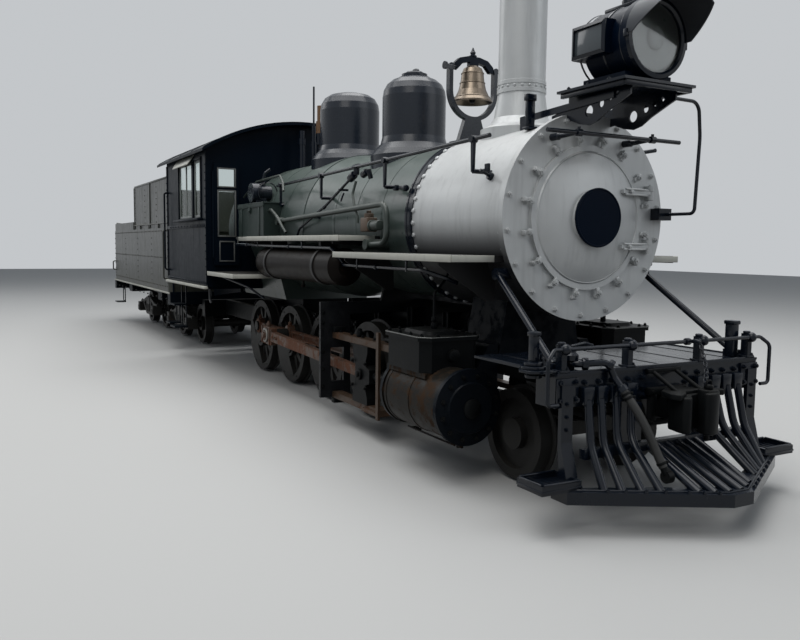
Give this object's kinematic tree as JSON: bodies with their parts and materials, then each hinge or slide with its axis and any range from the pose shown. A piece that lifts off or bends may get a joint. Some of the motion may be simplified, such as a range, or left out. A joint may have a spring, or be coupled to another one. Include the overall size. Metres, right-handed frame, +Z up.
{
  "type": "steam locomotive",
  "caption": "Narrow-gauge freight steam locomotive with coupled drivers, a leading truck, pilot and its tender, which hauls cars on rails.",
  "frame": {"origin": "On the track's middle line, halfway along engine and tender, level with the lowest edge of the wheel flanges.", "axes": "+X points to the front of the engine, +Y to its left side, +Z up."},
  "size_m": [15.7253, 2.85, 4.075],
  "materials": {
    "smokebox_silver": "aluminium paint gone dull, brown with rust and soot at its lower edges",
    "jacket_green": "matt sage grey-green paint with dust and rain streaks",
    "dome_black": "satin black paint, dusty on top",
    "gloss_black": "gloss blue-black enamel with light dust",
    "cab_black": "semi-gloss black paint with a grey-brown film of dust",
    "frame_black": "oily black castings with brown dust",
    "board_dark": "dark grey walkways with cream-white edges",
    "rod_rust": "bare steel, rusted red-brown and oily, worn bright at the joints",
    "cylinder_rust": "old black paint turned rusty brown, with oil runs",
    "wheel_black": "dusty black wheel centres with bare steel tyres",
    "reservoir_brown": "dark brownish paint on rolled steel",
    "box_green": "dull grey-green paint",
    "bell_brass": "dull polished brass with brown patches",
    "pipe_metal": "painted pipe in the boiler's colour, brown at the valves",
    "hose_rubber": "black ribbed rubber",
    "truck_black": "black truck castings under brown dust"
  },
  "bodies": {
    "engine": {"main_frame": "frame_black", "cylinders_and_saddle": "cylinder_rust", "steam_chests": "cylinder_rust", "boiler": "jacket_green", "firebox_and_ashpan": "frame_black", "smokebox": "smokebox_silver", "smokestack": "smokebox_silver", "sand_dome": "dome_black", "steam_dome": "dome_black", "bell_stand": "dome_black", "headlight": "gloss_black", "headlight_bracket": "gloss_black", "lamp_conduit": "gloss_black", "handrails": "gloss_black", "running_boards": "board_dark", "air_reservoir": "reservoir_brown", "air_pump": "dome_black", "tool_box": "box_green", "generator": "dome_black", "whistle_and_valves": "bell_brass", "delivery_pipes": "pipe_metal", "buffer_beam": "gloss_black", "smokebox_braces": "gloss_black", "pilot": "gloss_black", "front_coupler": "frame_black", "uncoupling_lever": "gloss_black", "brake_hose": "hose_rubber", "hose_coupling": "frame_black", "train_pipe": "gloss_black", "cab_roof": "cab_black", "cab_walls": "cab_black", "cab_floor": "cab_black", "backhead_fittings": "frame_black", "guides_and_yoke": "rod_rust", "crossheads": "rod_rust", "main_rods": "rod_rust"},
    "smokebox_door": {"smokebox_door": "smokebox_silver"},
    "bell": {"bell": "bell_brass"},
    "sand_dome_lid": {"sand_dome_lid": "dome_black"},
    "cab_door_right": {"cab_door_right": "cab_black"},
    "cab_door_left": {"cab_door_left": "cab_black"},
    "driver_axle_1": {"driver_axle_1": "wheel_black"},
    "driver_axle_2": {"driver_axle_2": "wheel_black"},
    "driver_axle_3": {"driver_axle_3": "wheel_black"},
    "driver_axle_4": {"driver_axle_4": "wheel_black"},
    "side_rod_right": {"side_rod_right": "rod_rust"},
    "side_rod_left": {"side_rod_left": "rod_rust"},
    "pony_truck": {"pony_truck": "truck_black"},
    "pony_axle": {"pony_axle": "wheel_black"},
    "tender": {"tender_frame": "cab_black", "tender_tank": "cab_black", "rear_coupler": "frame_black"},
    "tender_hatch_lid": {"tender_hatch_lid": "cab_black"},
    "tender_truck_1": {"tender_truck_1": "truck_black"},
    "tender_truck_2": {"tender_truck_2": "truck_black"},
    "tender_axle_1": {"tender_axle_1": "wheel_black"},
    "tender_axle_2": {"tender_axle_2": "wheel_black"},
    "tender_axle_3": {"tender_axle_3": "wheel_black"},
    "tender_axle_4": {"tender_axle_4": "wheel_black"}
  },
  "joints": [
    {"name": "smokebox_door_hinge", "type": "hinge", "parent": "engine", "child": "smokebox_door", "pos_m": [6.455, 0.6, 1.939], "axis": [0, 0, 1], "range_deg": [0, 85]},
    {"name": "bell_swing", "type": "hinge", "parent": "engine", "child": "bell", "pos_m": [4.86, 0, 3.31], "axis": [0, 1, 0], "range_deg": [-35, 35]},
    {"name": "sand_lid_hinge", "type": "hinge", "parent": "engine", "child": "sand_dome_lid", "pos_m": [3.644, 0, 3.437], "axis": [0, -1, 0], "range_deg": [0, 100]},
    {"name": "cab_door_right_hinge", "type": "hinge", "parent": "engine", "child": "cab_door_right", "pos_m": [0.845, -1.261, 2.095], "axis": [0, 0, -1], "range_deg": [0, 90]},
    {"name": "cab_door_left_hinge", "type": "hinge", "parent": "engine", "child": "cab_door_left", "pos_m": [0.845, 1.261, 2.095], "axis": [0, 0, 1], "range_deg": [0, 90]},
    {"name": "driver_axle_3_spin", "type": "hinge", "parent": "engine", "child": "driver_axle_3", "pos_m": [1.739, 0, 0.495], "axis": [0, 1, 0], "continuous": true},
    {"name": "driver_axle_1_spin", "type": "hinge", "parent": "engine", "child": "driver_axle_1", "pos_m": [3.941, 0, 0.495], "axis": [0, 1, 0], "continuous": true},
    {"name": "driver_axle_2_spin", "type": "hinge", "parent": "engine", "child": "driver_axle_2", "pos_m": [2.84, 0, 0.495], "axis": [0, 1, 0], "continuous": true},
    {"name": "driver_axle_4_spin", "type": "hinge", "parent": "engine", "child": "driver_axle_4", "pos_m": [0.638, 0, 0.495], "axis": [0, 1, 0], "continuous": true},
    {"name": "side_rod_right_pin", "type": "hinge", "parent": "driver_axle_3", "child": "side_rod_right", "pos_m": [1.94449, -0.641, 0.6443], "axis": [0, 1, 0], "continuous": true},
    {"name": "side_rod_left_pin", "type": "hinge", "parent": "driver_axle_3", "child": "side_rod_left", "pos_m": [1.8883, 0.641, 0.28951], "axis": [0, 1, 0], "continuous": true},
    {"name": "pony_truck_swing", "type": "hinge", "parent": "engine", "child": "pony_truck", "pos_m": [4.8, 0, 0.425], "axis": [0, 0, 1], "range_deg": [-2, 2]},
    {"name": "pony_axle_spin", "type": "hinge", "parent": "pony_truck", "child": "pony_axle", "pos_m": [6.33, 0, 0.355], "axis": [0, 1, 0], "continuous": true},
    {"name": "tender_swing", "type": "hinge", "parent": "engine", "child": "tender", "pos_m": [-1.83, 0, 0.655], "axis": [0, 0, 1], "range_deg": [-6, 6]},
    {"name": "tender_hatch_hinge", "type": "hinge", "parent": "tender", "child": "tender_hatch_lid", "pos_m": [-6.428, 0, 2.0733], "axis": [0, 1, 0], "range_deg": [0, 100]},
    {"name": "tender_truck_1_swivel", "type": "hinge", "parent": "tender", "child": "tender_truck_1", "pos_m": [-3.25, 0, 0.67], "axis": [0, 0, 1], "range_deg": [-6, 6]},
    {"name": "tender_truck_2_swivel", "type": "hinge", "parent": "tender", "child": "tender_truck_2", "pos_m": [-6.1, 0, 0.67], "axis": [0, 0, 1], "range_deg": [-6, 6]},
    {"name": "tender_axle_1_spin", "type": "hinge", "parent": "tender_truck_1", "child": "tender_axle_1", "pos_m": [-2.565, 0, 0.355], "axis": [0, 1, 0], "continuous": true},
    {"name": "tender_axle_2_spin", "type": "hinge", "parent": "tender_truck_1", "child": "tender_axle_2", "pos_m": [-3.935, 0, 0.355], "axis": [0, 1, 0], "continuous": true},
    {"name": "tender_axle_3_spin", "type": "hinge", "parent": "tender_truck_2", "child": "tender_axle_3", "pos_m": [-5.415, 0, 0.355], "axis": [0, 1, 0], "continuous": true},
    {"name": "tender_axle_4_spin", "type": "hinge", "parent": "tender_truck_2", "child": "tender_axle_4", "pos_m": [-6.785, 0, 0.355], "axis": [0, 1, 0], "continuous": true}
  ],
  "couplings": [
    {"joint": "driver_axle_1_spin", "follows": "driver_axle_3_spin", "ratio": 1},
    {"joint": "driver_axle_2_spin", "follows": "driver_axle_3_spin", "ratio": 1},
    {"joint": "driver_axle_4_spin", "follows": "driver_axle_3_spin", "ratio": 1},
    {"joint": "side_rod_right_pin", "follows": "driver_axle_3_spin", "ratio": -1},
    {"joint": "side_rod_left_pin", "follows": "driver_axle_3_spin", "ratio": -1}
  ]
}
